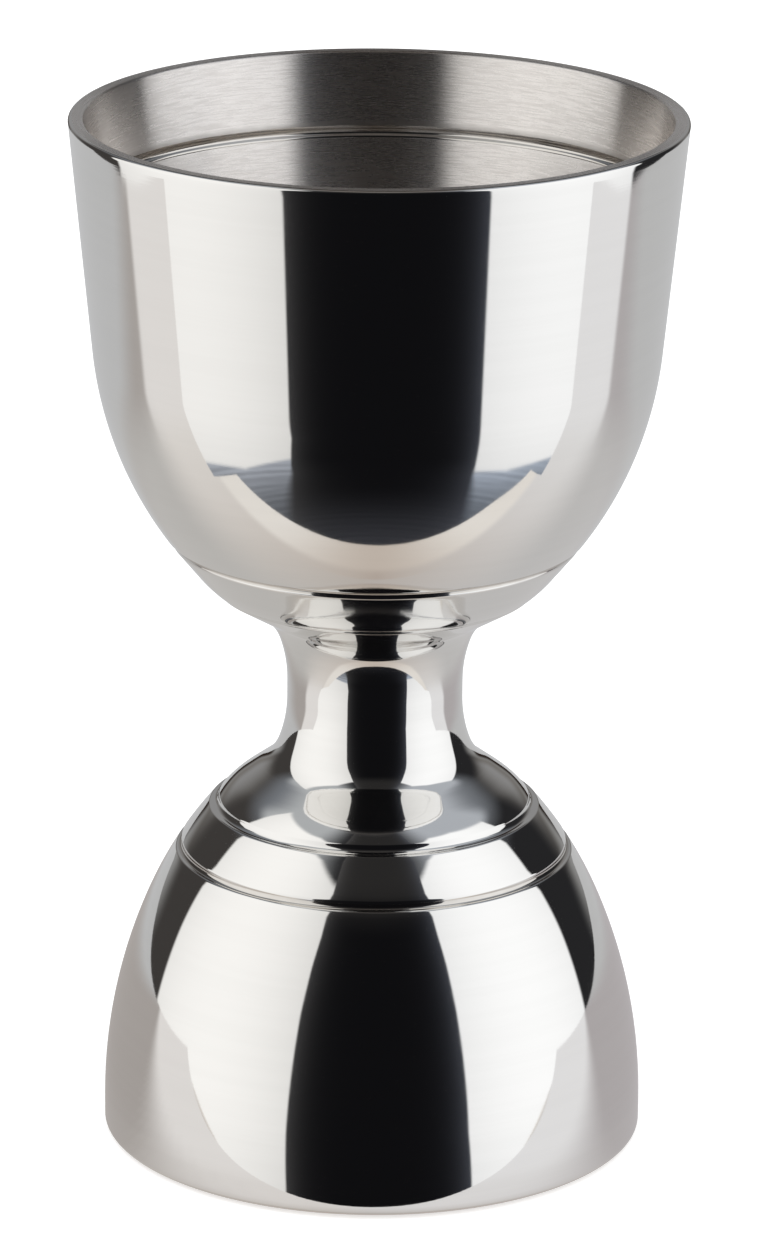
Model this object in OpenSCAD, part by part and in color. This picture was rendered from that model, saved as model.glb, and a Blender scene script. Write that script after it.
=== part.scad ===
// Double-ended bell jigger in stainless steel: two cups brazed to a waisted stem.
// It stands mouth down on the smaller cup, with its axis along Z and the origin under its centre.

/* [Upper cup] */
// Outer diameter of the upper rim
rim_diameter = 52.5; // [46:0.5:60]
// Lean of the straight wall from upright, in degrees
wall_angle = 5.6; // [2:0.1:9]
// Height of the straight wall under the rim
wall_height = 20.2; // [16:0.2:25]
// Radius of the round bottom, outside, seen from the side
bowl_radius = 33; // [30:0.2:37]
// Diameter of the groove turned on the upper cup
upper_groove_diameter = 35.7; // [34:0.1:37]
// Slope of the cone under that groove, from upright
bowl_foot_angle = 39.3; // [35:0.1:43]
// Radius of the round between the cone and the upper joint
bowl_foot_round = 11.8; // [6:0.1:16]
// Slope at the upper joint, from upright
upper_joint_angle = 49.5; // [46:0.1:54]
// Thickness of the metal under the middle of the upper cavity
upper_floor = 2.4; // [2:0.1:7]
// Radius between the upper cavity's wall and its floor
upper_corner = 9; // [5:0.5:12]
// Depth of the measuring line below the upper rim
upper_line_depth = 7.1; // [3:0.1:14]

/* [Lower cup] */
// Outer diameter of the lower lip, on which the jigger stands
base_diameter = 47.1; // [43:0.1:54]
// Height of the upright band above the lower lip
band_height = 2; // [1:0.1:4]
// Radius of the bell's side, outside, seen from the side
bell_side_radius = 46.3; // [43:0.1:55]
// Angle through which the bell's side curves before the crown starts
bell_side_turn = 24; // [18:0.5:28]
// Radius of the bell's crown, outside, seen from the side
bell_crown_radius = 34.4; // [31:0.1:40]
// Diameter of the groove turned on the lower cup
lower_groove_diameter = 34; // [32:0.1:37]
// Thickness of the metal over the middle of the lower cavity
lower_floor = 7.1; // [2:0.1:10]
// Radius between the lower cavity's wall and its crown
lower_corner = 8; // [5:0.5:10]

/* [Stem] */
// Diameter of the waist
waist_diameter = 15.2; // [12:0.1:18]
// Length of the straight stretch of the waist
waist_length = 1.5; // [0.5:0.1:12]
// Radius of the long hollow on either side of the waist
hollow_radius = 11.8; // [6:0.1:16]
// Angle through which the long hollow turns
hollow_turn = 20; // [12:1:30]
// Radius of the short hollow under each shoulder
throat_radius = 4.35; // [2:0.05:6]
// Slope of the lower shoulder, from upright
lower_shoulder_angle = 54; // [46:0.5:60]
// Slope of the upper shoulder, from upright
upper_shoulder_angle = 59.5; // [55:0.5:66]
// Radius of the round between the lower shoulder and its joint
lower_shoulder_round = 10; // [4:0.1:12]
// Radius of the round between the upper shoulder and its joint
upper_shoulder_round = 1.2; // [0.5:0.1:4]

/* [Walls, lips and grooves] */
// Thickness of both cups' walls
wall = 1.3; // [1:0.05:1.8]
// Round on the outer edge of both lips
lip_round = 0.3; // [0.1:0.05:0.5]
// Round on the inner edge of both lips
lip_inner_round = 0.2; // [0.1:0.05:0.4]
// Diameter of the groove where each cup meets the stem
joint_diameter = 27.8; // [26.5:0.1:29]
// Radius of the bottom of the grooves turned on the cups
groove_radius = 0.39; // [0.2:0.01:0.5]
// Radius of the bottom of the grooves at the joints
joint_groove_radius = 0.64; // [0.4:0.01:0.8]
// Radius of every groove's two edges
groove_edge_radius = 0.32; // [0.15:0.01:0.4]
// Angle through which each edge turns, of a line, of a cup's groove and of the lower joint
groove_turn = 50; // [30:5:60]
// Angle through which the stem's edge of the lower joint turns instead
lower_joint_turn = 34; // [24:1:50]
// Angle through which both edges of the upper joint turn
upper_joint_turn = 20; // [12:1:40]
// Radius of a measuring line's bottom and edges
line_radius = 0.36; // [0.1:0.01:0.4]

/* [Joints] */
// Diameter of the spigots that centre the stem in the cups
spigot_diameter = 12; // [8:0.5:14]
// Height of each spigot
spigot_height = 1.1; // [0.6:0.1:1.4]
// Gap around each spigot
spigot_clearance = 0.05; // [0.02:0.01:0.15]
// Gap beyond each spigot's end
spigot_end_clearance = 0.1; // [0.05:0.05:0.3]
// Thickness of the braze rings
braze_thickness = 0.4; // [0.2:0.05:0.8]
// Width of the braze rings
braze_width = 3; // [1.5:0.1:3.6]
// Width of bare metal left outside each braze ring
braze_land = 1.6; // [1:0.1:2.2]

/* [Hidden] */
$fn = 180;
steel = [0.80, 0.79, 0.77];
filler = [0.72, 0.70, 0.64];
outline_error = 0.004;
largest_step = 12;
degrees_per_radian = 180 / PI;

function last(list) = list[len(list) - 1];

// Points of an arc that leaves p along a heading and turns, to the left if the turn is positive
function arc_points(p, heading, radius, turn) =
    let (
        side = sign(turn),
        centre = p + side * radius * [-sin(heading), cos(heading)],
        step = min(largest_step, sqrt(8 * outline_error / radius) * degrees_per_radian),
        count = ceil(abs(turn) / step)
    )
    [for (k = [1:count])
        let (angle = heading + turn * k / count)
        centre + side * radius * [sin(angle), -cos(angle)]];

// Points of a chain of tangent pieces after p: [length] runs straight, [radius, turn] is an arc
function chain(p, heading, pieces, i = 0) =
    i == len(pieces) ? [] :
    let (
        piece = pieces[i],
        straight = len(piece) == 1,
        run = straight
            ? [p + piece[0] * [cos(heading), sin(heading)]]
            : arc_points(p, heading, piece[0], piece[1])
    )
    concat(run, chain(last(run), heading + (straight ? 0 : piece[1]), pieces, i + 1));

// A groove across a surface that itself bends by the given angle; side is 1 with the metal on the left
function groove(side, bend) = [
    [groove_edge_radius, side * groove_turn],
    [groove_radius, bend - 2 * side * groove_turn],
    [groove_edge_radius, side * groove_turn]
];
// Either half of a joint's groove, into its bottom and out of it
function groove_in(turn) = [[groove_edge_radius, turn], [joint_groove_radius, -turn]];
function groove_out(turn) = [[joint_groove_radius, -turn], [groove_edge_radius, turn]];
function measuring_line(side) = [
    [line_radius, side * groove_turn],
    [line_radius, -2 * side * groove_turn],
    [line_radius, side * groove_turn]
];
groove_width = 2 * (groove_edge_radius + groove_radius) * sin(groove_turn);
function joint_half_width(turn) = (groove_edge_radius + joint_groove_radius) * sin(turn);
line_width = 4 * line_radius * sin(groove_turn);

// Volume inside a cavity outline that is turned about the axis, in millilitres
function capacity(points) = abs(sum_of([for (i = [1:len(points) - 1])
    let (a = points[i - 1], b = points[i])
    PI / 3 * (a.x * a.x + a.x * b.x + b.x * b.x) * (b.y - a.y) / 1000]));
function sum_of(list, i = 0) = i == len(list) ? 0 : list[i] + sum_of(list, i + 1);

// Lower cup, from its outer lip up to the middle of the joint groove
bell_lip = [base_diameter / 2 - lip_round, 0];
bell_side_centre = [base_diameter / 2 - bell_side_radius, band_height];
bell_crown_centre = bell_side_centre
    + (bell_side_radius - bell_crown_radius) * [cos(bell_side_turn), sin(bell_side_turn)];
bell_half_bend = groove_width / 2 / bell_crown_radius * degrees_per_radian;
bell_groove_angle = acos((lower_groove_diameter / 2 - bell_crown_centre.x) / bell_crown_radius);
bell_joint_angle = acos((joint_diameter / 2 - bell_crown_centre.x) / bell_crown_radius)
    - joint_half_width(groove_turn) / bell_crown_radius * degrees_per_radian;
bell_outline = concat([bell_lip], chain(bell_lip, 0, concat(
    [
        [lip_round, 90],
        [band_height - lip_round],
        [bell_side_radius, bell_side_turn],
        [bell_crown_radius, bell_groove_angle - bell_half_bend - bell_side_turn]
    ],
    groove(1, 2 * bell_half_bend),
    [[bell_crown_radius, bell_joint_angle - bell_groove_angle - bell_half_bend]],
    groove_in(groove_turn)
)));
lower_seat = last(bell_outline);

// Lower cavity, from the middle of its crown down to the lip
lower_crown = [0, lower_seat.y - lower_floor];
lower_cavity_radius = bell_side_radius - wall;
lower_cavity_angle = asin(
    (lower_crown.y - lower_corner - bell_side_centre.y) / (lower_cavity_radius - lower_corner)
);
lower_flat = bell_side_centre.x + (lower_cavity_radius - lower_corner) * cos(lower_cavity_angle);
lower_cavity_run = band_height - lip_inner_round;
lower_cavity = concat([lower_crown], chain(lower_crown, 0, [
    [lower_flat],
    [lower_corner, lower_cavity_angle - 90],
    [lower_cavity_radius, -lower_cavity_angle],
    [lower_cavity_run],
    [lip_inner_round, 90]
]));

// Upper cup, measured from its rim down to the middle of the joint groove
rim_lip = [rim_diameter / 2 - lip_round, 0];
wall_run = (wall_height - lip_round) / cos(wall_angle);
wall_pieces = [[lip_round, -90 - wall_angle], [wall_run]];
wall_foot = last(chain(rim_lip, 0, wall_pieces));
bowl_centre = wall_foot + bowl_radius * [-cos(wall_angle), sin(wall_angle)];
bowl_half_bend = groove_width / 2 / bowl_radius * degrees_per_radian;
bowl_groove_angle = acos((upper_groove_diameter / 2 - bowl_centre.x) / bowl_radius);
bowl_pieces = concat(
    wall_pieces,
    [[bowl_radius, wall_angle + bowl_half_bend - bowl_groove_angle]],
    groove(-1, bowl_groove_angle - bowl_half_bend - bowl_foot_angle)
);
cone_start = last(chain(rim_lip, 0, bowl_pieces));
foot_reach = bowl_foot_round * (cos(bowl_foot_angle) - cos(upper_joint_angle));
cone_end_radius = joint_diameter / 2 + joint_half_width(upper_joint_turn) * sin(upper_joint_angle) + foot_reach;
cone_run = (cone_start.x - cone_end_radius) / sin(bowl_foot_angle);
bowl_outline = concat([rim_lip], chain(rim_lip, 0, concat(
    bowl_pieces,
    [[cone_run], [bowl_foot_round, bowl_foot_angle - upper_joint_angle]],
    groove_in(-upper_joint_turn)
)));
upper_seat = last(bowl_outline);

// Upper cavity, from the middle of its floor up to the rim
upper_cavity_floor = [0, upper_seat.y + upper_floor];
upper_cavity_radius = bowl_radius - wall;
upper_cavity_angle = asin(
    (bowl_centre.y - upper_corner - upper_cavity_floor.y) / (upper_cavity_radius - upper_corner)
);
upper_flat = bowl_centre.x + (upper_cavity_radius - upper_corner) * cos(upper_cavity_angle);
upper_wall_start = bowl_centre.y - upper_cavity_radius * sin(wall_angle);
upper_wall_end = -lip_inner_round * (1 - sin(wall_angle));
upper_line_start = (-upper_line_depth - upper_wall_start) / cos(wall_angle) - line_width / 2;
upper_line_end = (upper_wall_end - upper_wall_start) / cos(wall_angle) - upper_line_start - line_width;
upper_cavity = concat([upper_cavity_floor], chain(upper_cavity_floor, 0, concat(
    [
        [upper_flat],
        [upper_corner, 90 - upper_cavity_angle],
        [upper_cavity_radius, upper_cavity_angle - wall_angle],
        [upper_line_start]
    ],
    measuring_line(-1),
    [[upper_line_end], [lip_inner_round, wall_angle - 90]]
)));

// Stem, from the lower joint groove up to the upper one
function hollow_reach(shoulder_angle) = hollow_radius * (1 - cos(hollow_turn))
    + throat_radius * (cos(hollow_turn) - cos(shoulder_angle));
// Straight stretch of a shoulder, between its round and the hollow; edge_radius is where the round starts
function shoulder_run(edge_radius, joint_angle, shoulder_angle, shoulder_round) =
    (edge_radius - waist_diameter / 2 - hollow_reach(shoulder_angle)
        - shoulder_round * (cos(joint_angle) - cos(shoulder_angle))) / sin(shoulder_angle);
lower_edge_radius = last(chain(lower_seat, 90 + bell_joint_angle, groove_out(lower_joint_turn))).x;
upper_edge_radius = last(chain(upper_seat, -90 - upper_joint_angle, groove_out(-upper_joint_turn))).x;
stem_outline = concat([lower_seat], chain(lower_seat, 90 + bell_joint_angle, concat(
    groove_out(lower_joint_turn),
    [
        [lower_shoulder_round, lower_shoulder_angle - bell_joint_angle],
        [shoulder_run(lower_edge_radius, bell_joint_angle, lower_shoulder_angle, lower_shoulder_round)],
        [throat_radius, hollow_turn - lower_shoulder_angle],
        [hollow_radius, -hollow_turn],
        [waist_length],
        [hollow_radius, -hollow_turn],
        [throat_radius, hollow_turn - upper_shoulder_angle],
        [shoulder_run(upper_edge_radius, upper_joint_angle, upper_shoulder_angle, upper_shoulder_round)],
        [upper_shoulder_round, upper_shoulder_angle - upper_joint_angle]
    ],
    groove_in(upper_joint_turn)
)));
stem_top = last(stem_outline);
rim_height = stem_top.y - upper_seat.y;

spigot_radius = spigot_diameter / 2;
recess_radius = spigot_radius + spigot_clearance;
recess_depth = spigot_height + spigot_end_clearance;
lower_braze_outer = lower_seat.x - braze_land;
upper_braze_outer = stem_top.x - braze_land;

echo(overall_height = rim_height);
echo(upper_cup_ml = capacity(upper_cavity), lower_cup_ml = capacity(lower_cavity));

// End face of the stem, from its edge to the axis: pocket for the braze ring, then the spigot
function stem_end(edge_radius, z, up) = [
    [edge_radius - braze_land, z],
    [edge_radius - braze_land, z - up * braze_thickness],
    [edge_radius - braze_land - braze_width, z - up * braze_thickness],
    [edge_radius - braze_land - braze_width, z],
    [spigot_radius, z],
    [spigot_radius, z + up * spigot_height],
    [0, z + up * spigot_height]
];

// Seat of a cup on the stem, from the edge to the axis: flat face, then the recess for the spigot
function cup_seat(z, up) = [
    [recess_radius, z],
    [recess_radius, z + up * recess_depth],
    [0, z + up * recess_depth]
];

module turned(points) {
    rotate_extrude() polygon(points);
}

module braze_ring(outer_radius, low, high) {
    inner_radius = outer_radius - braze_width;
    turned([[inner_radius, low], [outer_radius, low], [outer_radius, high], [inner_radius, high]]);
}

module lower_cup() {
    color(steel) turned(concat(bell_outline, cup_seat(lower_seat.y, -1), lower_cavity));
}

module lower_braze_ring() {
    color(filler) braze_ring(lower_braze_outer, lower_seat.y, lower_seat.y + braze_thickness);
}

module stem() {
    lower_end = stem_end(lower_seat.x, lower_seat.y, -1);
    upper_end = stem_end(stem_top.x, stem_top.y, 1);
    lower_end_outwards = [for (i = [len(lower_end) - 1:-1:0]) lower_end[i]];
    color(steel) turned(concat(lower_end_outwards, stem_outline, upper_end));
}

module upper_braze_ring() {
    color(filler) braze_ring(upper_braze_outer, stem_top.y - braze_thickness, stem_top.y);
}

module upper_cup() {
    color(steel) translate([0, 0, rim_height])
        turned(concat(bowl_outline, cup_seat(upper_seat.y, 1), upper_cavity));
}

lower_cup();
lower_braze_ring();
stem();
upper_braze_ring();
upper_cup();
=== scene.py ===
import math

import bpy
import numpy as np
from mathutils import Matrix


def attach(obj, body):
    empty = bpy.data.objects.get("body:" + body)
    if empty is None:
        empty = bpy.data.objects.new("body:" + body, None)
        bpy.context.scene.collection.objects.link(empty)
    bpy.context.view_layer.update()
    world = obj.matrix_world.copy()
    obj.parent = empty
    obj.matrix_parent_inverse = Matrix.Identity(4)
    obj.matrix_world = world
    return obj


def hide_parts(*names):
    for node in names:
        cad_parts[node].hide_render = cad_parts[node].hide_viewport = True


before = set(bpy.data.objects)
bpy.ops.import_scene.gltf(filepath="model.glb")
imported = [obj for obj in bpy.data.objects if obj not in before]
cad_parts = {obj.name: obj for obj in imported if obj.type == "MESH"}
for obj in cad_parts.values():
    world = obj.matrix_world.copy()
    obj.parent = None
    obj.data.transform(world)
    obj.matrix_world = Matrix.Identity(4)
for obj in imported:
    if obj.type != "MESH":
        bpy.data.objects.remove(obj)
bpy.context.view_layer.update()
print("frame loaded:", ", ".join(sorted(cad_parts)))

scene = bpy.context.scene
scene.view_settings.view_transform = "Standard"
mm = 0.001


# Outlines

outlineSet = {
    "longestStep": 0.5,                 # mm between two points
    "largestTurn": 8.0,                 # degrees between two points of an arc
    "around": 256,                      # points in a full turn
    "sharpAngle": 40.0,                 # degrees from which an edge stays sharp
}


# Walks a chain of tangent links from start, along heading in degrees.
# A straight link is (finish, length). An arc is (finish, radius, turn) and turns left where turn is above 0.
# A point of an arc is its centre plus the radius, turned through the heading reached there.
def walkChain(start, heading, links, opening=None):
    longestStep, largestTurn = outlineSet["longestStep"], outlineSet["largestTurn"]
    here = np.array(start, float)
    runs = [here[None]]
    finishes = [[opening or links[0][0]]]
    for link in links:
        ahead = math.radians(heading)
        if len(link) == 2:
            count = max(1, math.ceil(abs(link[1]) / longestStep))
            share = np.arange(1, count + 1)[:, None] / count
            run = here + link[1] * share * np.array([math.cos(ahead), math.sin(ahead)])
        else:
            radius, turn = link[1:]
            side = math.copysign(1.0, turn)
            length = radius * math.radians(abs(turn))
            count = max(1, math.ceil(length / longestStep), math.ceil(abs(turn) / largestTurn))
            angle = ahead + math.radians(turn) * np.arange(1, count + 1) / count
            centre = here + side * radius * np.array([-math.sin(ahead), math.cos(ahead)])
            run = centre + side * radius * np.stack([np.sin(angle), -np.cos(angle)], 1)
            heading += turn
        runs.append(run)
        finishes.append([link[0]] * count)
        here = run[-1]
    return np.concatenate(runs), sum(finishes, [])


# Straight hidden faces through given corners, as on a lathe drawing
def cornerRun(corners):
    return np.array(corners, float), ["hidden"] * len(corners)


def joinRuns(*runs):
    points = np.concatenate([points for points, finish in runs])
    return points, sum([finish for points, finish in runs], [])


# Turned surface: point (i, j) is outline point i, swung about Z by j parts of a full turn.
# The outline starts and ends on the axis, where one vertex closes the surface.
def turnedPiece(name, outline, finishes, materials):
    around = outlineSet["around"]
    angle = np.arange(around) * (2 * math.pi / around)
    radius, height = outline[1:-1, 0], outline[1:-1, 1]
    ring = np.stack([
        radius[:, None] * np.cos(angle),
        radius[:, None] * np.sin(angle),
        np.broadcast_to(height[:, None], (len(height), around)),
    ], 2).reshape(-1, 3)
    ends = np.array([[0, 0, outline[0, 1]], [0, 0, outline[-1, 1]]])
    vertices = np.concatenate([ring, ends]) * mm
    rings = len(radius)
    index = np.arange(rings * around).reshape(rings, around)
    ahead = np.roll(index, -1, 1)
    quads = np.stack([index[:-1], ahead[:-1], ahead[1:], index[1:]], 2).reshape(-1, 4)
    firstPole, lastPole = rings * around, rings * around + 1
    firstFan = np.stack([np.full(around, firstPole), ahead[0], index[0]], 1)
    lastFan = np.stack([index[-1], ahead[-1], np.full(around, lastPole)], 1)
    crossed = outline[:-1, 0] * outline[1:, 1] - outline[1:, 0] * outline[:-1, 1]
    if crossed.sum() < 0:
        quads, firstFan, lastFan = quads[:, ::-1], firstFan[:, ::-1], lastFan[:, ::-1]
    mesh = bpy.data.meshes.new(name)
    mesh.from_pydata(vertices, [], quads.tolist() + firstFan.tolist() + lastFan.tolist())
    order = list(materials)
    for finish in order:
        mesh.materials.append(materials[finish])
    kinds = np.array([order.index(finish) if finish in order else 0 for finish in finishes])
    faceKinds = np.concatenate([
        np.repeat(kinds[2:-1], around),
        np.full(around, kinds[1]),
        np.full(around, kinds[-1]),
    ])
    mesh.polygons.foreach_set("material_index", faceKinds.astype(np.int32))
    steps = np.hypot(*np.diff(outline, axis=0).T)
    along = np.concatenate([[0], np.cumsum(steps)])
    addValue(mesh, "alongOutline", spread(along, around))
    # 1 on groove bottoms and the inner line, where painted shade and tarnish darken the colour
    cut = np.array([finish in ("groove", "line") for finish in finishes], float)
    addValue(mesh, "cutDepth", spread(cut, around))
    mesh.shade_smooth()
    mesh.set_sharp_from_angle(angle=math.radians(outlineSet["sharpAngle"]))
    piece = bpy.data.objects.new(name, mesh)
    scene.collection.objects.link(piece)
    return piece


# One value for each outline point, carried round every ring and to the two poles
def spread(values, around):
    return np.concatenate([np.repeat(values[1:-1], around), values[:1], values[-1:]])


def addValue(mesh, name, values):
    layer = mesh.attributes.new(name, "FLOAT", "POINT")
    layer.data.foreach_set("value", values.astype(np.float32))


# Node helpers

def newGroup(name, inputs, outputs):
    tree = bpy.data.node_groups.new(name, "ShaderNodeTree")
    for label, kind, value in inputs:
        socket = tree.interface.new_socket(name=label, in_out="INPUT", socket_type=kind)
        if value is not None:
            socket.default_value = value
    for label, kind in outputs:
        tree.interface.new_socket(name=label, in_out="OUTPUT", socket_type=kind)
    return tree, tree.nodes.new("NodeGroupInput"), tree.nodes.new("NodeGroupOutput")


def mathNode(tree, operation, first, second=None, third=None):
    node = tree.nodes.new("ShaderNodeMath")
    node.operation = operation
    for slot, value in enumerate((first, second, third)):
        if isinstance(value, (int, float)):
            node.inputs[slot].default_value = value
        elif value is not None:
            tree.links.new(value, node.inputs[slot])
    return node.outputs[0]


def noiseNode(tree, vector, scale, detail, roughness):
    node = tree.nodes.new("ShaderNodeTexNoise")
    node.inputs["Scale"].default_value = scale
    node.inputs["Detail"].default_value = detail
    node.inputs["Roughness"].default_value = roughness
    tree.links.new(vector, node.inputs["Vector"])
    return node.outputs["Fac"]


# 0 below the first limit, 1 above the second, and an eased rise between them
def rangeNode(tree, value, fromLow, fromHigh):
    node = tree.nodes.new("ShaderNodeMapRange")
    node.interpolation_type = "SMOOTHSTEP"
    node.inputs["From Min"].default_value = fromLow
    node.inputs["From Max"].default_value = fromHigh
    tree.links.new(value, node.inputs["Value"])
    return node.outputs["Result"]


linesSet = {
    "heightDetail": 3.0,
    "streakDetail": 2.0,
    "noiseRoughness": 0.6,
    "streakRange": (0.35, 0.68),        # noise from which a streak begins, and at which it is full
}


# Lines left by polishing or brushing on a lathe: noise, quick along the outline and slow round the axis
def makeTurnedLines():
    tree, given, made = newGroup(
        "turnedLines",
        [("Along", "NodeSocketFloat", 0.0), ("Point", "NodeSocketVector", None),
         ("Spacing", "NodeSocketFloat", 0.2), ("Wander", "NodeSocketFloat", 30.0),
         ("Band", "NodeSocketFloat", 0.13)],
        [("Height", "NodeSocketFloat"), ("Streak", "NodeSocketFloat")],
    )
    split = tree.nodes.new("ShaderNodeSeparateXYZ")
    tree.links.new(given.outputs["Point"], split.inputs[0])
    count = mathNode(tree, "DIVIDE", given.outputs["Along"], given.outputs["Spacing"])
    wander = given.outputs["Wander"]

    def lineNoise(factor, detail):
        join = tree.nodes.new("ShaderNodeCombineXYZ")
        tree.links.new(mathNode(tree, "MULTIPLY", count, factor), join.inputs[0])
        tree.links.new(mathNode(tree, "MULTIPLY", split.outputs[0], wander), join.inputs[1])
        tree.links.new(mathNode(tree, "MULTIPLY", split.outputs[1], wander), join.inputs[2])
        return noiseNode(tree, join.outputs[0], 1.0, detail, linesSet["noiseRoughness"])

    tree.links.new(lineNoise(1.0, linesSet["heightDetail"]), made.inputs["Height"])
    streak = lineNoise(given.outputs["Band"], linesSet["streakDetail"])
    tree.links.new(rangeNode(tree, streak, *linesSet["streakRange"]), made.inputs["Streak"])
    return tree


hazeSet = {
    "patches": (70.0, 3.0, 0.55),       # scale, detail and roughness of the noise
    "smears": (320.0, 4.0, 0.6),
    "smearShare": 0.35,
    "range": (0.42, 0.66),
}


# Faint haze left by wiping and handling: broad soft patches, broken up by smaller smears
def makeHandlingHaze():
    tree, given, made = newGroup(
        "handlingHaze",
        [("Point", "NodeSocketVector", None)],
        [("Haze", "NodeSocketFloat")],
    )
    patches = noiseNode(tree, given.outputs["Point"], *hazeSet["patches"])
    smears = noiseNode(tree, given.outputs["Point"], *hazeSet["smears"])
    share = hazeSet["smearShare"]
    both = mathNode(tree, "MULTIPLY_ADD", smears, share, mathNode(tree, "MULTIPLY", patches, 1 - share))
    tree.links.new(rangeNode(tree, both, *hazeSet["range"]), made.inputs["Haze"])
    return tree


cutSet = {
    "specks": (900.0, 2.0, 0.5),        # scale, detail and roughness of the noise
    "leastShade": 0.6,
    "speckShade": 0.5,
}


# Painted shade with tarnish and compound in turned cuts and the inner line, broken up by fine noise
def makeCutShade():
    tree, given, made = newGroup(
        "cutShade",
        [("Cut", "NodeSocketFloat", 0.0), ("Point", "NodeSocketVector", None)],
        [("Shade", "NodeSocketFloat")],
    )
    specks = noiseNode(tree, given.outputs["Point"], *cutSet["specks"])
    broken = mathNode(tree, "MULTIPLY_ADD", specks, cutSet["speckShade"], cutSet["leastShade"])
    tree.links.new(mathNode(tree, "MULTIPLY", given.outputs["Cut"], broken), made.inputs["Shade"])
    return tree


turnedLines = makeTurnedLines()
handlingHaze = makeHandlingHaze()
cutShade = makeCutShade()


def placeGroup(tree, group, **values):
    node = tree.nodes.new("ShaderNodeGroup")
    node.node_tree = group
    for label, value in values.items():
        if isinstance(value, (int, float)):
            node.inputs[label].default_value = value
        else:
            tree.links.new(value, node.inputs[label])
    return node


# Colour sockets of the Mix node: inputs 6 and 7, and output 2
def mixColour(tree, share, first, second):
    node = tree.nodes.new("ShaderNodeMix")
    node.data_type = "RGBA"
    tree.links.new(share, node.inputs["Factor"])
    for slot, value in ((6, first), (7, second)):
        if isinstance(value, tuple):
            node.inputs[slot].default_value = (*value, 1.0)
        else:
            tree.links.new(value, node.inputs[slot])
    return node.outputs[2]


# Turned stainless steel: one way of building, with settings for each finish.
# The bump's height falls along the outline by the tangent of the lean, so each facet of the lines leans.
def steelMaterial(name, look):
    material = bpy.data.materials.new(name)
    material.use_nodes = True
    tree = material.node_tree
    shader = tree.nodes["Principled BSDF"]
    place = tree.nodes.new("ShaderNodeTexCoord").outputs["Object"]
    along = tree.nodes.new("ShaderNodeAttribute")
    along.attribute_name = "alongOutline"
    cut = tree.nodes.new("ShaderNodeAttribute")
    cut.attribute_name = "cutDepth"
    lines = placeGroup(tree, turnedLines, Along=along.outputs["Fac"], Point=place,
                       Spacing=look["lineSpacing"], Wander=look["lineWander"], Band=look["streakBand"])
    haze = placeGroup(tree, handlingHaze, Point=place)
    shade = placeGroup(tree, cutShade, Cut=cut.outputs["Fac"], Point=place)
    streak = lines.outputs["Streak"]
    tone = mixColour(tree, streak, look["colour"], look["streakColour"])
    # painted shade and tarnish in the turned cuts
    tone = mixColour(tree, shade.outputs["Shade"], tone, look["cutShadeAndTarnish"])
    tree.links.new(tone, shader.inputs["Base Color"])
    rough = mathNode(tree, "MULTIPLY_ADD", streak, look["streakRoughness"], look["roughness"])
    rough = mathNode(tree, "MULTIPLY_ADD", haze.outputs["Haze"], look["hazeRoughness"], rough)
    rough = mathNode(tree, "MULTIPLY_ADD", shade.outputs["Shade"], look["cutRoughness"], rough)
    tree.links.new(rough, shader.inputs["Roughness"])
    bump = tree.nodes.new("ShaderNodeBump")
    bump.inputs["Strength"].default_value = look["lineStrength"]
    bump.inputs["Distance"].default_value = look["lineDepth"] * mm
    slope = -math.tan(math.radians(look["facetLean"])) / (look["lineDepth"] * look["lineStrength"])
    height = mathNode(tree, "MULTIPLY_ADD", along.outputs["Fac"], slope, lines.outputs["Height"])
    tree.links.new(height, bump.inputs["Height"])
    tree.links.new(bump.outputs["Normal"], shader.inputs["Normal"])
    shader.inputs["Metallic"].default_value = 1.0
    shader.inputs["Anisotropic"].default_value = look["anisotropy"]
    shader.inputs["Anisotropic Rotation"].default_value = look["grainTurn"]
    return material


mirrorLook = {
    "colour": (0.80, 0.79, 0.77),
    "streakColour": (0.79, 0.78, 0.76),
    "cutShadeAndTarnish": (0.62, 0.59, 0.55),
    "roughness": 0.03,
    "streakRoughness": 0.01,
    "hazeRoughness": 0.02,
    "cutRoughness": 0.04,
    "anisotropy": 0.5,
    "grainTurn": 0.25,                  # share of a full turn from the mesh's own direction
    "lineSpacing": 0.12,                # mm
    "lineWander": 20.0,                 # changes for each metre round the axis
    "streakBand": 0.13,                 # streaks for each line
    "lineDepth": 0.001,                 # mm
    "lineStrength": 0.35,
    "facetLean": 0.0,
}
satinLook = {
    "colour": (0.812, 0.778, 0.748),
    "streakColour": (0.75, 0.714, 0.682),
    "cutShadeAndTarnish": (0.6, 0.575, 0.545),
    "roughness": 0.26,
    "streakRoughness": 0.03,
    "hazeRoughness": 0.02,
    "cutRoughness": 0.1,
    "anisotropy": 1.0,
    "grainTurn": 0.25,
    "lineSpacing": 0.1,
    "lineWander": 450.0,
    "streakBand": 0.8,
    "lineDepth": 0.003,
    "lineStrength": 0.6,
    "facetLean": 17.0,                  # degrees by which the cut facets of its lines face the mouth
}
lipLook = {**satinLook, "facetLean": 0.0}
mirrorSteel = steelMaterial("mirrorSteel", mirrorLook)
satinSteel = steelMaterial("satinSteel", satinLook)
lipSteel = steelMaterial("lipSteel", lipLook)
print("materials made: mirrorSteel, satinSteel, lipSteel")


# Turned cuts shared by the cups and the stem

grooveSet = {
    "bottomRadius": 0.39,
    "jointRadius": 0.64,
    "edgeRadius": 0.32,
    "turn": 50.0,
    "lowerJointTurn": 34.0,             # stem's side of the lower joint
    "upperJointTurn": 20.0,             # both sides of the upper joint
    "lineRadius": 0.36,
}
jointDiameter = 27.8
spigotSet = {
    "radius": 6.0,
    "height": 1.1,
    "sideGap": 0.05,
    "endGap": 0.1,
    "brazeThickness": 0.4,
    "brazeWidth": 3.0,
    "brazeLand": 1.6,
}
cupSet = {"wall": 1.3, "lipRound": 0.3, "lipInnerRound": 0.2}


def cosDeg(angle):
    return math.cos(math.radians(angle))


def sinDeg(angle):
    return math.sin(math.radians(angle))


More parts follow.
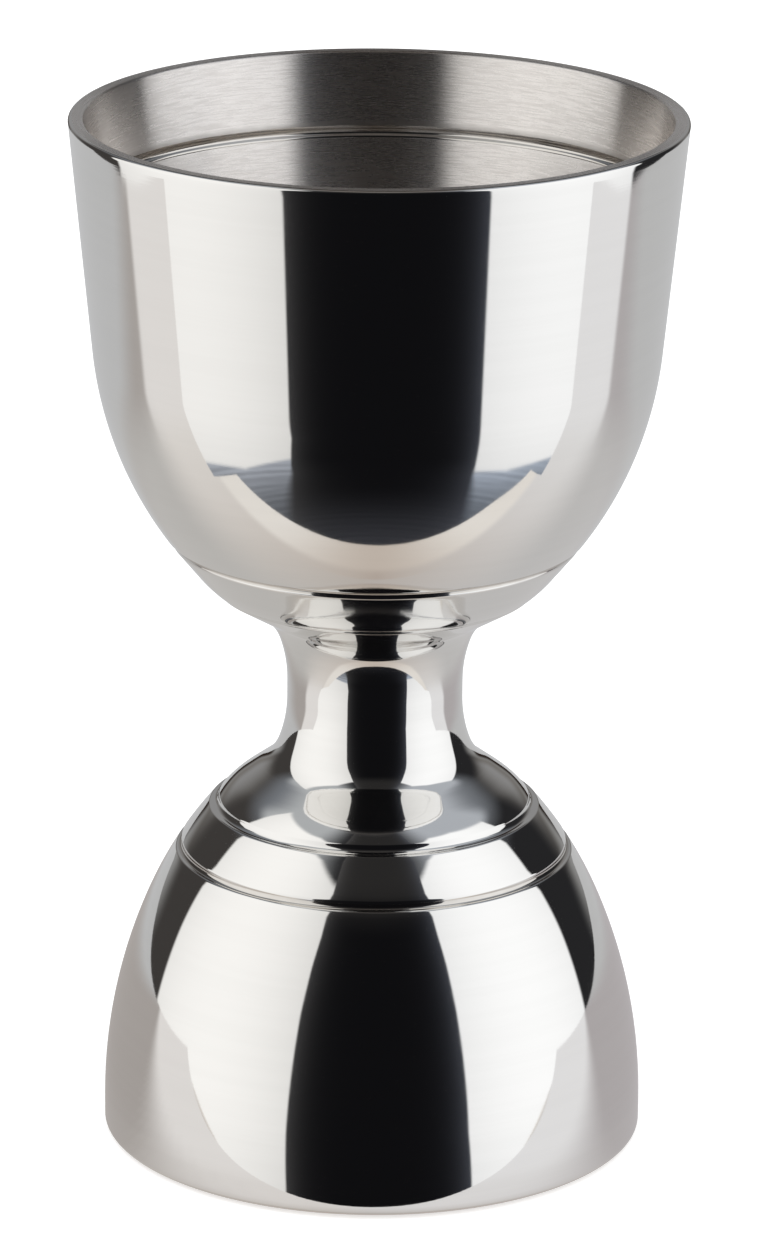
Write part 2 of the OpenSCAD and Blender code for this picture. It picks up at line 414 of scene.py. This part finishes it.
grooveSpan = 2 * (grooveSet["edgeRadius"] + grooveSet["bottomRadius"]) * sinDeg(grooveSet["turn"])
lowerJointHalf = (grooveSet["edgeRadius"] + grooveSet["jointRadius"]) * sinDeg(grooveSet["turn"])
upperJointHalf = (grooveSet["edgeRadius"] + grooveSet["jointRadius"]) * sinDeg(grooveSet["upperJointTurn"])
lineSpan = 4 * grooveSet["lineRadius"] * sinDeg(grooveSet["turn"])


# Links of a groove across a surface that bends by the given angle. Side is 1 with the metal on the left.
def grooveLinks(side, bend):
    turn = side * grooveSet["turn"]
    edge = ("mirror", grooveSet["edgeRadius"], turn)
    return [edge, ("groove", grooveSet["bottomRadius"], bend - 2 * turn), edge]


# Either half of a joint's groove, into its bottom and out of it
def jointStart(turn):
    return [("mirror", grooveSet["edgeRadius"], turn), ("mirror", grooveSet["jointRadius"], -turn)]


def jointEnd(turn):
    return [("mirror", grooveSet["jointRadius"], -turn), ("mirror", grooveSet["edgeRadius"], turn)]


# Seat of a cup on the stem, with the recess for the spigot, ending on the axis
def seatRun(height, up):
    recess = spigotSet["radius"] + spigotSet["sideGap"]
    depth = spigotSet["height"] + spigotSet["endGap"]
    return cornerRun([[recess, height], [recess, height + up * depth], [0, height + up * depth]])


# Lower cup

lowerCupSet = {
    "baseDiameter": 47.1,
    "bandHeight": 2.0,
    "sideRadius": 46.3,
    "sideTurn": 24.0,
    "crownRadius": 34.4,
    "grooveDiameter": 34.0,
    "floor": 7.1,
    "corner": 8.0,
}


def lowerCupOutline():
    size = lowerCupSet
    lipRound, lipInner = cupSet["lipRound"], cupSet["lipInnerRound"]
    sideX = size["baseDiameter"] / 2 - size["sideRadius"]
    crownX = sideX + (size["sideRadius"] - size["crownRadius"]) * cosDeg(size["sideTurn"])
    halfBend = math.degrees(grooveSpan / 2 / size["crownRadius"])
    grooveAngle = math.degrees(math.acos((size["grooveDiameter"] / 2 - crownX) / size["crownRadius"]))
    jointBend = math.degrees(lowerJointHalf / size["crownRadius"])
    jointAngle = math.degrees(math.acos((jointDiameter / 2 - crownX) / size["crownRadius"])) - jointBend
    outside = walkChain([size["baseDiameter"] / 2 - lipRound, 0], 0, [
        ("mirror", lipRound, 90),
        ("mirror", size["bandHeight"] - lipRound),
        ("mirror", size["sideRadius"], size["sideTurn"]),
        ("mirror", size["crownRadius"], grooveAngle - halfBend - size["sideTurn"]),
        *grooveLinks(1, 2 * halfBend),
        ("mirror", size["crownRadius"], jointAngle - grooveAngle - halfBend),
        *jointStart(grooveSet["turn"]),
    ], opening="lip")
    seat = outside[0][-1]
    crown = seat[1] - size["floor"]
    cavityRadius = size["sideRadius"] - cupSet["wall"]
    reach = cavityRadius - size["corner"]
    angle = math.degrees(math.asin((crown - size["corner"] - size["bandHeight"]) / reach))
    inside = walkChain([0, crown], 0, [
        ("satin", sideX + reach * cosDeg(angle)),
        ("satin", size["corner"], angle - 90),
        ("satin", cavityRadius, -angle),
        ("satin", size["bandHeight"] - lipInner),
        ("satin", lipInner, 90),
    ])
    return joinRuns(inside, outside, seatRun(seat[1], -1)), seat, jointAngle


(lowerOutline, lowerFinish), lowerSeat, lowerJointAngle = lowerCupOutline()
pieceFinishes = {"mirror": mirrorSteel, "satin": satinSteel, "lip": lipSteel, "line": mirrorSteel}
lowerCup = turnedPiece("lowerCup", lowerOutline, lowerFinish, pieceFinishes)
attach(lowerCup, "root")
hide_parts("lower_cup")
print("lower cup turned:", len(lowerCup.data.polygons), "faces")


# Upper cup, worked out from its rim down and then lifted onto the stem

upperCupSet = {
    "rimDiameter": 52.5,
    "wallAngle": 5.6,
    "wallHeight": 20.2,
    "bowlRadius": 33.0,
    "grooveDiameter": 35.7,
    "footAngle": 39.3,
    "footRound": 11.8,
    "jointAngle": 49.5,
    "floor": 2.4,
    "corner": 9.0,
    "lineDepth": 7.1,
}


def upperCupOutline():
    size = upperCupSet
    lipRound, lipInner = cupSet["lipRound"], cupSet["lipInnerRound"]
    lean, radius = size["wallAngle"], size["bowlRadius"]
    lip = [size["rimDiameter"] / 2 - lipRound, 0]
    wallLinks = [
        ("mirror", lipRound, -90 - lean),
        ("mirror", (size["wallHeight"] - lipRound) / cosDeg(lean)),
    ]
    foot = walkChain(lip, 0, wallLinks)[0][-1]
    centre = foot + radius * np.array([-cosDeg(lean), sinDeg(lean)])
    halfBend = math.degrees(grooveSpan / 2 / radius)
    grooveAngle = math.degrees(math.acos((size["grooveDiameter"] / 2 - centre[0]) / radius))
    footAngle, jointAngle = size["footAngle"], size["jointAngle"]
    bowlLinks = [
        *wallLinks,
        ("mirror", radius, lean + halfBend - grooveAngle),
        *grooveLinks(-1, grooveAngle - halfBend - footAngle),
    ]
    coneStart = walkChain(lip, 0, bowlLinks)[0][-1]
    footReach = size["footRound"] * (cosDeg(footAngle) - cosDeg(jointAngle))
    coneEnd = jointDiameter / 2 + upperJointHalf * sinDeg(jointAngle) + footReach
    outside = walkChain(lip, 0, [
        *bowlLinks,
        ("mirror", (coneStart[0] - coneEnd) / sinDeg(footAngle)),
        ("mirror", size["footRound"], footAngle - jointAngle),
        *jointStart(-grooveSet["upperJointTurn"]),
    ], opening="lip")
    seat = outside[0][-1]
    floor = seat[1] + size["floor"]
    cavityRadius = radius - cupSet["wall"]
    reach = cavityRadius - size["corner"]
    angle = math.degrees(math.asin((centre[1] - size["corner"] - floor) / reach))
    wallStart = centre[1] - cavityRadius * sinDeg(lean)
    wallEnd = -lipInner * (1 - sinDeg(lean))
    toLine = (-size["lineDepth"] - wallStart) / cosDeg(lean) - lineSpan / 2
    turn = grooveSet["turn"]
    inside = walkChain([0, floor], 0, [
        ("satin", centre[0] + reach * cosDeg(angle)),
        ("satin", size["corner"], 90 - angle),
        ("satin", cavityRadius, angle - lean),
        ("satin", toLine),
        ("line", grooveSet["lineRadius"], -turn),
        ("line", grooveSet["lineRadius"], 2 * turn),
        ("line", grooveSet["lineRadius"], -turn),
        ("satin", (wallEnd - wallStart) / cosDeg(lean) - toLine - lineSpan),
        ("satin", lipInner, lean - 90),
    ])
    return joinRuns(inside, outside, seatRun(seat[1], 1)), seat, jointAngle


(upperOutline, upperFinish), upperSeat, upperJointAngle = upperCupOutline()


# Stem, from the lower joint groove up to the upper one

stemSet = {
    "waistDiameter": 15.2,
    "waistLength": 1.5,
    "hollowRadius": 11.8,
    "hollowTurn": 20.0,
    "throatRadius": 4.35,
    "lowerShoulderAngle": 54.0,
    "lowerShoulderRound": 10.0,
    "upperShoulderAngle": 59.5,
    "upperShoulderRound": 1.2,
}


# End face of the stem from its edge to the axis: pocket for the braze ring, then the spigot
def stemEnd(edge, height, up):
    outer = edge - spigotSet["brazeLand"]
    inner = outer - spigotSet["brazeWidth"]
    pocket = height - up * spigotSet["brazeThickness"]
    tip = height + up * spigotSet["height"]
    radius = spigotSet["radius"]
    return [
        [outer, height], [outer, pocket], [inner, pocket], [inner, height],
        [radius, height], [radius, tip], [0, tip],
    ]


# Straight stretch of a shoulder, between its round and the hollow, where the round starts at edgeRadius
def shoulderRun(edgeRadius, jointAngle, shoulderAngle, shoulderRound):
    size = stemSet
    hollow = size["hollowRadius"] * (1 - cosDeg(size["hollowTurn"]))
    throat = size["throatRadius"] * (cosDeg(size["hollowTurn"]) - cosDeg(shoulderAngle))
    rounding = shoulderRound * (cosDeg(jointAngle) - cosDeg(shoulderAngle))
    return (edgeRadius - size["waistDiameter"] / 2 - hollow - throat - rounding) / sinDeg(shoulderAngle)


def stemOutline():
    size = stemSet
    lowAngle, lowRound = size["lowerShoulderAngle"], size["lowerShoulderRound"]
    highAngle, highRound = size["upperShoulderAngle"], size["upperShoulderRound"]
    turn = size["hollowTurn"]
    lowJoint = jointEnd(grooveSet["lowerJointTurn"])
    lowEdge = walkChain(lowerSeat, 90 + lowerJointAngle, lowJoint)[0][-1][0]
    highEdge = walkChain(upperSeat, -90 - upperJointAngle, jointEnd(-grooveSet["upperJointTurn"]))[0][-1][0]
    side = walkChain(lowerSeat, 90 + lowerJointAngle, [
        *lowJoint,
        ("mirror", lowRound, lowAngle - lowerJointAngle),
        ("mirror", shoulderRun(lowEdge, lowerJointAngle, lowAngle, lowRound)),
        ("mirror", size["throatRadius"], turn - lowAngle),
        ("mirror", size["hollowRadius"], -turn),
        ("mirror", size["waistLength"]),
        ("mirror", size["hollowRadius"], -turn),
        ("mirror", size["throatRadius"], turn - highAngle),
        ("mirror", shoulderRun(highEdge, upperJointAngle, highAngle, highRound)),
        ("mirror", highRound, highAngle - upperJointAngle),
        *jointStart(grooveSet["upperJointTurn"]),
    ])
    top = side[0][-1]
    lowEnd = cornerRun(stemEnd(lowerSeat[0], lowerSeat[1], -1)[::-1])
    return joinRuns(lowEnd, side, cornerRun(stemEnd(top[0], top[1], 1))), top


(stemPoints, stemFinish), stemTop = stemOutline()
stem = turnedPiece("stem", stemPoints, stemFinish, {"mirror": mirrorSteel})
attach(stem, "root")
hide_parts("stem")
print("stem turned:", len(stem.data.polygons), "faces")

upperOutline[:, 1] += stemTop[1] - upperSeat[1]
upperCup = turnedPiece("upperCup", upperOutline, upperFinish, pieceFinishes)
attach(upperCup, "root")
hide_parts("upper_cup")
rimHeight = float(upperOutline[:, 1].max())
print("upper cup turned:", len(upperCup.data.polygons), "faces, rim at", round(rimHeight, 3), "mm")


# Braze rings keep their solids and get a filler finish

fillerSet = {
    "colour": (0.72, 0.70, 0.64),
    "dark": (0.55, 0.53, 0.47),
    "roughness": 0.32,
    "hazeRoughness": 0.12,
    "grain": (1400.0, 3.0, 0.6),        # scale, detail and roughness of the noise
}


def makeFiller():
    material = bpy.data.materials.new("brazeFiller")
    material.use_nodes = True
    tree = material.node_tree
    shader = tree.nodes["Principled BSDF"]
    place = tree.nodes.new("ShaderNodeTexCoord").outputs["Object"]
    grain = noiseNode(tree, place, *fillerSet["grain"])
    tone = mixColour(tree, grain, fillerSet["colour"], fillerSet["dark"])
    tree.links.new(tone, shader.inputs["Base Color"])
    haze = placeGroup(tree, handlingHaze, Point=place)
    hazy = haze.outputs["Haze"]
    rough = mathNode(tree, "MULTIPLY_ADD", hazy, fillerSet["hazeRoughness"], fillerSet["roughness"])
    tree.links.new(rough, shader.inputs["Roughness"])
    shader.inputs["Metallic"].default_value = 1.0
    return material


brazeFiller = makeFiller()
for node in ("lower_braze_ring", "upper_braze_ring"):
    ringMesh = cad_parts[node].data
    ringMesh.materials.clear()
    ringMesh.materials.append(brazeFiller)
print("braze rings finished")


# Studio: what the polished metal sees round it

def softStep(value, low, high):
    share = np.clip((value - low) / (high - low), 0, 1)
    return share * share * (3 - 2 * share)


# 1 between two edges, falling off over the given softness
def band(value, low, high, softness):
    rise = softStep(value, low - softness / 2, low + softness / 2)
    fall = softStep(value, high - softness / 2, high + softness / 2)
    return rise * (1 - fall)


def plainTone(shape, colour):
    return np.ones(shape) * np.array(colour)


def mixTone(tone, colour, share):
    return tone + (np.array(colour) - tone) * share[..., None]


# Grid of points (i, j, xyz) as a mesh, with colours for each point in named layers
def gridSheet(name, points, layers):
    rows, columns = points.shape[:2]
    index = np.arange(rows * columns).reshape(rows, columns)
    quads = np.stack([index[:-1, :-1], index[:-1, 1:], index[1:, 1:], index[1:, :-1]], 2).reshape(-1, 4)
    mesh = bpy.data.meshes.new(name)
    mesh.from_pydata(points.reshape(-1, 3), [], quads.tolist())
    for label, tones in layers.items():
        layer = mesh.attributes.new(label, "FLOAT_COLOR", "POINT")
        flat = np.concatenate([tones.reshape(-1, 3), np.ones((rows * columns, 1))], 1)
        layer.data.foreach_set("color", flat.astype(np.float32).ravel())
    sheet = bpy.data.objects.new(name, mesh)
    scene.collection.objects.link(sheet)
    return sheet


def toneMaterial(name):
    material = bpy.data.materials.new(name)
    material.use_nodes = True
    tree = material.node_tree
    tree.nodes.remove(tree.nodes["Principled BSDF"])
    tone = tree.nodes.new("ShaderNodeAttribute")
    tone.name = "tone"
    tone.attribute_name = "tone"
    glow = tree.nodes.new("ShaderNodeEmission")
    glow.name = "glow"
    tree.links.new(tone.outputs["Color"], glow.inputs["Color"])
    tree.links.new(glow.outputs[0], tree.nodes["Material Output"].inputs["Surface"])
    material.cycles.emission_sampling = "NONE"
    return material


# Only the metal's reflections see these, so the picture's ground stays plain
def onlyReflected(sheet):
    sheet.visible_camera = False
    sheet.visible_diffuse = False
    sheet.visible_transmission = False
    sheet.visible_volume_scatter = False
    sheet.visible_shadow = False


# Azimuths and elevations are in degrees. From, Levels and End give where a change begins and is done.
surroundSet = {
    "radius": 0.9,
    "step": 0.5,
    "footEdge": 0.5,                    # half width of an edge
    "outerEdge": 1.0,
    "topEdge": 1.5,
    "softboxLeft": (1.0, 0.995, 0.985),
    "softboxRight": (1.0, 1.012, 1.03),
    "softboxPeak": (1.155, 1.21),       # brightness in the middle, left and right
    "softboxMiddle": 77.0,
    "softboxFade": (0.13, 33.0),        # loss towards the upright edges, this far from the middle
    "softboxDim": (-8.0, 0.006),        # below this elevation, this share is lost for each degree
    "softboxOuter": (112.0, 109.0),
    "topAround": (-115, -55, -30, 37, 58, 80, 110),
    "topLevels": (55, 57, 50.5, 51, 57, 53, 41),
    "footAround": (-95, -63, -38, 43, 62, 95),
    "footLevels": (-31.5, -35.9, -33.3, -37, -35.9, -28.5),
    "belowLeft": (0.42, 0.45, 0.51),    # just under the softboxes, dying away downwards over belowReach
    "belowRight": (0.44, 0.5, 0.6),
    "belowReach": 12.5,
    "grain": 0.28,                      # share by which level lines vary what is under the softboxes
    "swayWaves": ((5, 0), (11, 40)),    # waves in a full turn, and where they start
    # radians for each degree of elevation, share of the sway, and start
    "levelWaves": ((4.1, 0.2, 0), (2.6, -0.35, 1), (3.3, 0.5, 2)),
    "canopyLeft": (0.5, 0.52, 0.54),    # over the softboxes, darker towards the flag
    "canopyRight": (0.5, 0.53, 0.58),
    "canopyDark": (0.03, 0.03, 0.032),
    "canopyFrom": (28, 66),
    "canopyEnd": (112, 130),
    "canopyLevels": (36, 44),
    "flag": (0.0055, 0.0055, 0.0065),
    "flagTop": (0.026, 0.025, 0.025),
    "flagTopLevels": (36, 54),
    "flagLow": (0.045, 0.047, 0.056),
    "flagLowLevels": (42, 72),          # below the horizon
    "flagEnd": (66, 76),                # elevations over which it gives way to the ceiling
    "flagLevels": (-90, -54, -38, -27, -10, 16, 35, 58),
    "flagLeft": (-80, -53, -40, -36.2, -35.6, -33.2, -29.6, -28),
    "flagRight": (80, 54, 46, 44.2, 40.8, 39.4, 37.4, 37),
    "flagBlurLevels": (-46, -35),
    "flagBlur": (4.5, 0.5),             # its edges are softer at the lower of the two levels
    "spillLeft": (0.05, 0.049, 0.05),
    "spillRight": (0.055, 0.06, 0.075),
    "spillLevels": (-55, -33),
    "spillReach": (13.0, 4.5),          # wider at the lower of the two levels
    "sideLeft": (0.054, 0.05, 0.048),
    "sideRight": (0.022, 0.022, 0.024),
    "sideTop": (0.2, 0.215, 0.24),
    "sideTopLevels": (27, 46),
    "back": (0.2, 0.19, 0.18),
    "backFrom": (132, 160),
    "backGlow": (0.3, 0.3, 0.3),        # paler strip along the horizon behind
    "backGlowFrom": (128, 150),
    "backGlowBand": (-14, 3, 8),        # from one elevation to another, and the softness of its edges
    "backTop": (0.3, 0.3, 0.305),
    "backTopFrom": (138, 160),
    "backTopLevels": (6, 14),
    "backMiddle": (0.03, 0.022, 0.017),
    "backMiddleFrom": (150, 158),
    "backWindow": (2.0, 30.0, 4.0),     # band left pale there, which the upper lip sees
    "overhead": (0.2, 0.182, 0.17),
    "overheadLevels": (68, 78),
}


# One of two colours by the side of the axis, left where across is negative
def bySide(across, left, right):
    return np.where((across < 0)[..., None], np.array(left), np.array(right))


# Tone of the two softboxes: brightest in the middle, falling off with the square of the angle from there,
# and a little dimmer towards the foot
def softboxTone(around, up):
    setup = surroundSet
    peak = np.where(around < 0, *setup["softboxPeak"])
    loss, reach = setup["softboxFade"]
    fade = loss * ((np.abs(around) - setup["softboxMiddle"]) / reach) ** 2
    dimFrom, dimShare = setup["softboxDim"]
    dim = 1 - dimShare * np.maximum(dimFrom - up, 0)
    return ((peak - fade) * dim)[..., None] * bySide(around, setup["softboxLeft"], setup["softboxRight"])


# Level lines like those of a plank: the mean of waves that are quick in elevation and sway with the azimuth
def levelLines(around, up):
    sway = sum(np.sin(np.radians(around * count + start)) for count, start in surroundSet["swayWaves"])
    waves = [np.sin(rate * up + lean * sway + start) for rate, lean, start in surroundSet["levelWaves"]]
    return sum(waves) / len(waves)


# Round screen about the object: a point is the radius along azimuth and elevation, azimuth 0 being
# towards the camera. It has a black flag in front, a softbox on each side, a dark room behind
# and a dull ceiling.
# The screen glows though it is no lamp: its softboxes, spill and pale bands are painted light.
def makeSurround():
    setup = surroundSet
    footEdge, outerEdge, rimEdge = setup["footEdge"], setup["outerEdge"], setup["topEdge"]
    azimuth = np.arange(-180, 180 + setup["step"], setup["step"])
    elevation = np.arange(-90, 90 + setup["step"], setup["step"])
    around, up = np.meshgrid(azimuth, elevation)
    level = np.cos(np.radians(up))
    points = setup["radius"] * np.stack([
        np.sin(np.radians(around)) * level,
        -np.cos(np.radians(around)) * level,
        np.sin(np.radians(up)),
    ], 2)
    turned = np.abs(around)
    tones = bySide(around, setup["sideLeft"], setup["sideRight"])
    tones = mixTone(tones, setup["back"], softStep(turned, *setup["backFrom"]))
    glowShare = band(up, *setup["backGlowBand"]) * softStep(turned, *setup["backGlowFrom"])
    tones = mixTone(tones, setup["backGlow"], glowShare)
    topShare = softStep(up, *setup["backTopLevels"]) * softStep(turned, *setup["backTopFrom"])
    tones = mixTone(tones, setup["backTop"], topShare)
    tones = mixTone(tones, setup["sideTop"], softStep(up, *setup["sideTopLevels"]))
    window = band(up, *setup["backWindow"])
    tones = mixTone(tones, setup["backMiddle"], softStep(turned, *setup["backMiddleFrom"]) * (1 - window))
    canopyPale = bySide(around, setup["canopyLeft"], setup["canopyRight"])
    canopy = plainTone(tones.shape, setup["canopyDark"])
    canopy = mixTone(canopy, canopyPale, softStep(turned, *setup["canopyFrom"]))
    canopyShare = softStep(up, *setup["canopyLevels"]) * (1 - softStep(turned, *setup["canopyEnd"]))
    tones = mixTone(tones, canopy, canopyShare)
    tones = mixTone(tones, setup["overhead"], softStep(up, *setup["overheadLevels"]))
    outer = np.where(around < 0, *setup["softboxOuter"])
    rim = np.interp(around, setup["topAround"], setup["topLevels"])
    inside = 1 - softStep(turned, outer - outerEdge, outer + outerEdge)
    inside = inside * (1 - softStep(up, rim - rimEdge, rim + rimEdge))
    tones = mixTone(tones, softboxTone(around, up), inside)
    left = np.interp(up, setup["flagLevels"], setup["flagLeft"])
    right = np.interp(up, setup["flagLevels"], setup["flagRight"])
    outside = np.maximum(left - around, around - right)
    foot = np.interp(around, setup["footAround"], setup["footLevels"])
    fall = np.exp(np.minimum(up - foot, 0) / setup["belowReach"])[..., None]
    grain = 1 + setup["grain"] * levelLines(around, up)[..., None]
    below = fall * grain * bySide(around, setup["belowLeft"], setup["belowRight"])
    tones = mixTone(tones, below, 1 - softStep(up, foot - footEdge, foot + footEdge))
    flag = plainTone(tones.shape, setup["flag"])
    flag = mixTone(flag, setup["flagTop"], softStep(up, *setup["flagTopLevels"]))
    flag = mixTone(flag, grain * np.array(setup["flagLow"]), softStep(-up, *setup["flagLowLevels"]))
    reach = np.interp(up, setup["spillLevels"], setup["spillReach"])
    flag += np.exp(np.minimum(left - around, 0) / reach)[..., None] * np.array(setup["spillLeft"])
    flag += np.exp(np.minimum(around - right, 0) / reach)[..., None] * np.array(setup["spillRight"])
    blur = np.interp(up, setup["flagBlurLevels"], setup["flagBlur"])
    front = (1 - softStep(outside, -blur, blur)) * (1 - softStep(up, *setup["flagEnd"]))
    tones = mixTone(tones, flag, front)
    sheet = gridSheet("studioSurround", points, {"tone": tones})
    sheet.data.materials.append(toneMaterial("surroundTone"))
    onlyReflected(sheet)


makeSurround()

tableSet = {
    "halfWidth": 0.248,
    "front": -0.026,
    "back": 0.38,
    "height": -0.0002,
    "topPoints": (125, 204),            # across and back
    "shadeFrom": (0.045, -0.006),       # the object's two painted shadows start here, at either side
    "shadeSlope": 0.37,                 # and run back by this much for each unit outwards
    "shadeSoftness": (0.024, 0.006),    # half width of their edge, seen from above and along the table
    "nearShade": (0.52, 0.45, 0.4),      # painted shade of the object, seen from above close to it
    "nearShadeReach": 0.06,
    "farLeft": (0.88, 0.855, 0.83),
    "farRight": (0.9, 0.905, 0.92),
    "shadeLeft": (0.57, 0.557, 0.543),
    "shadeRight": (0.6, 0.593, 0.595),
    "sheenLeft": (0.885, 0.862, 0.852),  # seen along the table
    "sheenRight": (0.905, 0.905, 0.925),
    "sheenShadeLeft": (0.445, 0.415, 0.4),
    "sheenShadeRight": (0.496, 0.47, 0.482),
    "sheenBehind": (0.57, 0.575, 0.585),
    "sheenBehindFrom": (0.06, 0.12),
    "sheenFacing": (0.45, 0.68),        # from facing the table to looking along it
    "dropPoints": (80, 40),             # across and down
    "dropReach": 0.027,
    "dropDepth": 0.021,
    "dropTop": (-0.0887, 0.092),        # left and right ends of its edges
    "dropBottom": (-0.1046, 0.1064),
    # painted shade of the object on the middle of the paper, paler towards its sides
    "dropShadeTone": (0.63, 0.555, 0.495),
    "dropShadeReach": 0.055,
    "dropSides": (0.905, 0.868, 0.825),
    "dropFold": (0.08, 0.3),            # share of the reach at which its own tone takes over
    "dropRise": 0.13,                   # share of the reach that is missing at the right end
    "dropCorner": (0.65, 1.0, 0.3),     # between two shares of the way there, this much more is missing
}


# Table seen from above: painted shade close to the object gives way to the far tone by an exponential
# of the distance across, and both are duller in the painted shadows
def tableTone(x, shade):
    setup = tableSet
    far = 1 - np.exp(-np.abs(x) / setup["nearShadeReach"])
    tones = plainTone((*x.shape, 3), setup["nearShade"])
    tones = mixTone(tones, bySide(x, setup["farLeft"], setup["farRight"]), far)
    return mixTone(tones, bySide(x, setup["shadeLeft"], setup["shadeRight"]), shade)


# Glowing table top that the metal reflects, with painted light: one tone from above and one along it.
# The paper over its front edge spans two sloping ends, and a point of it hangs out and down by its share
# of the reach, which is less towards the right end.
def makeTable():
    setup = tableSet
    columns, rows = setup["topPoints"]
    across = np.linspace(-setup["halfWidth"], setup["halfWidth"], columns)
    x, y = np.meshgrid(across, np.linspace(setup["front"], setup["back"], rows))
    startAcross, startBack = setup["shadeFrom"]
    beyond = y - startBack - setup["shadeSlope"] * (np.abs(x) - startAcross)
    wide, narrow = setup["shadeSoftness"]
    tones = tableTone(x, softStep(beyond, -wide, wide))
    sheen = bySide(x, setup["sheenLeft"], setup["sheenRight"])
    sheenShade = bySide(x, setup["sheenShadeLeft"], setup["sheenShadeRight"])
    sheen = mixTone(sheen, sheenShade, softStep(beyond, -narrow, narrow))
    sheen = mixTone(sheen, setup["sheenBehind"], softStep(y, *setup["sheenBehindFrom"]))
    points = np.stack([x, y, np.full(x.shape, setup["height"])], 2)
    top = gridSheet("tableTop", points, {"tone": tones, "sheen": sheen})
    columns, rows = setup["dropPoints"]
    share, down = np.meshgrid(np.linspace(0, 1, columns), np.linspace(1, 0, rows))
    topLeft, topRight = setup["dropTop"]
    bottomLeft, bottomRight = setup["dropBottom"]
    left = topLeft + (bottomLeft - topLeft) * down
    right = topRight + (bottomRight - topRight) * down
    x = left + (right - left) * share
    toRight = np.clip(x / bottomRight, 0, 1)
    cornerStart, cornerEnd, cornerCut = setup["dropCorner"]
    hang = down * (1 - setup["dropRise"] * toRight - cornerCut * softStep(toRight, cornerStart, cornerEnd))
    y = setup["front"] - setup["dropReach"] * hang
    points = np.stack([x, y, setup["height"] - setup["dropDepth"] * hang], 2)
    # painted shade in the middle of the paper
    paper = plainTone(points.shape, setup["dropShadeTone"])
    paper = mixTone(paper, setup["dropSides"], softStep(np.abs(x), 0, setup["dropShadeReach"]))
    tones = mixTone(tableTone(x, np.zeros(x.shape)), paper, softStep(hang, *setup["dropFold"]))
    drop = gridSheet("tableDrop", points, {"tone": tones, "sheen": tones})
    material = tableMaterial()
    for sheet in (top, drop):
        sheet.data.materials.append(material)
        onlyReflected(sheet)


# Glow in the tone seen from above, turning to the painted sheen where the table is seen along its surface
def tableMaterial():
    material = toneMaterial("tableTone")
    tree = material.node_tree
    tone = tree.nodes["tone"]
    sheen = tree.nodes.new("ShaderNodeAttribute")
    sheen.attribute_name = "sheen"
    facing = tree.nodes.new("ShaderNodeLayerWeight")
    share = rangeNode(tree, facing.outputs["Facing"], *tableSet["sheenFacing"])
    mixed = mixColour(tree, share, tone.outputs["Color"], sheen.outputs["Color"])
    tree.links.new(mixed, tree.nodes["glow"].inputs["Color"])
    return material


makeTable()

floorSet = {
    "halfSize": 4.0,
    "height": -0.0003,
    "points": 9,
    "colour": (0.9, 0.9, 0.9),
    "lift": 0.45,                       # glow that the camera sees besides the light on the floor
}


# Plain white floor: a flat sheet, lifted to white for the camera so that only a faint shadow stays
def makeFloor():
    setup = floorSet
    line = np.linspace(-setup["halfSize"], setup["halfSize"], setup["points"])
    x, y = np.meshgrid(line, line)
    points = np.stack([x, y, np.full(x.shape, setup["height"])], 2)
    sheet = gridSheet("floor", points, {})
    material = bpy.data.materials.new("paleFloor")
    material.use_nodes = True
    tree = material.node_tree
    tree.nodes.remove(tree.nodes["Principled BSDF"])
    matt = tree.nodes.new("ShaderNodeBsdfDiffuse")
    matt.inputs["Color"].default_value = (*setup["colour"], 1.0)
    glow = tree.nodes.new("ShaderNodeEmission")
    ray = tree.nodes.new("ShaderNodeLightPath")
    seen = mathNode(tree, "MAXIMUM", ray.outputs["Is Camera Ray"], ray.outputs["Is Transmission Ray"])
    tree.links.new(mathNode(tree, "MULTIPLY", seen, setup["lift"]), glow.inputs["Strength"])
    both = tree.nodes.new("ShaderNodeAddShader")
    tree.links.new(matt.outputs[0], both.inputs[0])
    tree.links.new(glow.outputs[0], both.inputs[1])
    tree.links.new(both.outputs[0], tree.nodes["Material Output"].inputs["Surface"])
    sheet.data.materials.append(material)
    sheet.visible_glossy = False


makeFloor()

worldSet = {"colour": (1.0, 1.0, 1.0), "strength": 1.0}

world = bpy.data.worlds.new("studioWorld")
scene.world = world
world.use_nodes = True
backdrop = world.node_tree.nodes["Background"]
backdrop.inputs["Color"].default_value = (*worldSet["colour"], 1.0)
backdrop.inputs["Strength"].default_value = worldSet["strength"]
print("studio set: surround, table, floor, white world")


# Camera at the photograph's place

cameraSet = {
    "place": (0.0004, -0.5385, 0.21774),
    "pitchDown": 17.755,                # degrees
    "roll": 0.0081,                     # radians
    "focalPixels": 6546.5,
    "frameHeight": 1249,
    "sensor": 36.0,
    "clip": (0.01, 50.0),
}


def makeCamera():
    setup = cameraSet
    data = bpy.data.cameras.new("camera")
    data.sensor_width = setup["sensor"]
    data.lens = setup["focalPixels"] / setup["frameHeight"] * setup["sensor"]
    data.clip_start, data.clip_end = setup["clip"]
    camera = bpy.data.objects.new("camera", data)
    scene.collection.objects.link(camera)
    tilt = Matrix.Rotation(math.radians(90 - setup["pitchDown"]), 4, "X")
    camera.matrix_world = Matrix.Translation(setup["place"]) @ tilt @ Matrix.Rotation(setup["roll"], 4, "Z")
    scene.camera = camera


makeCamera()
print("camera placed")
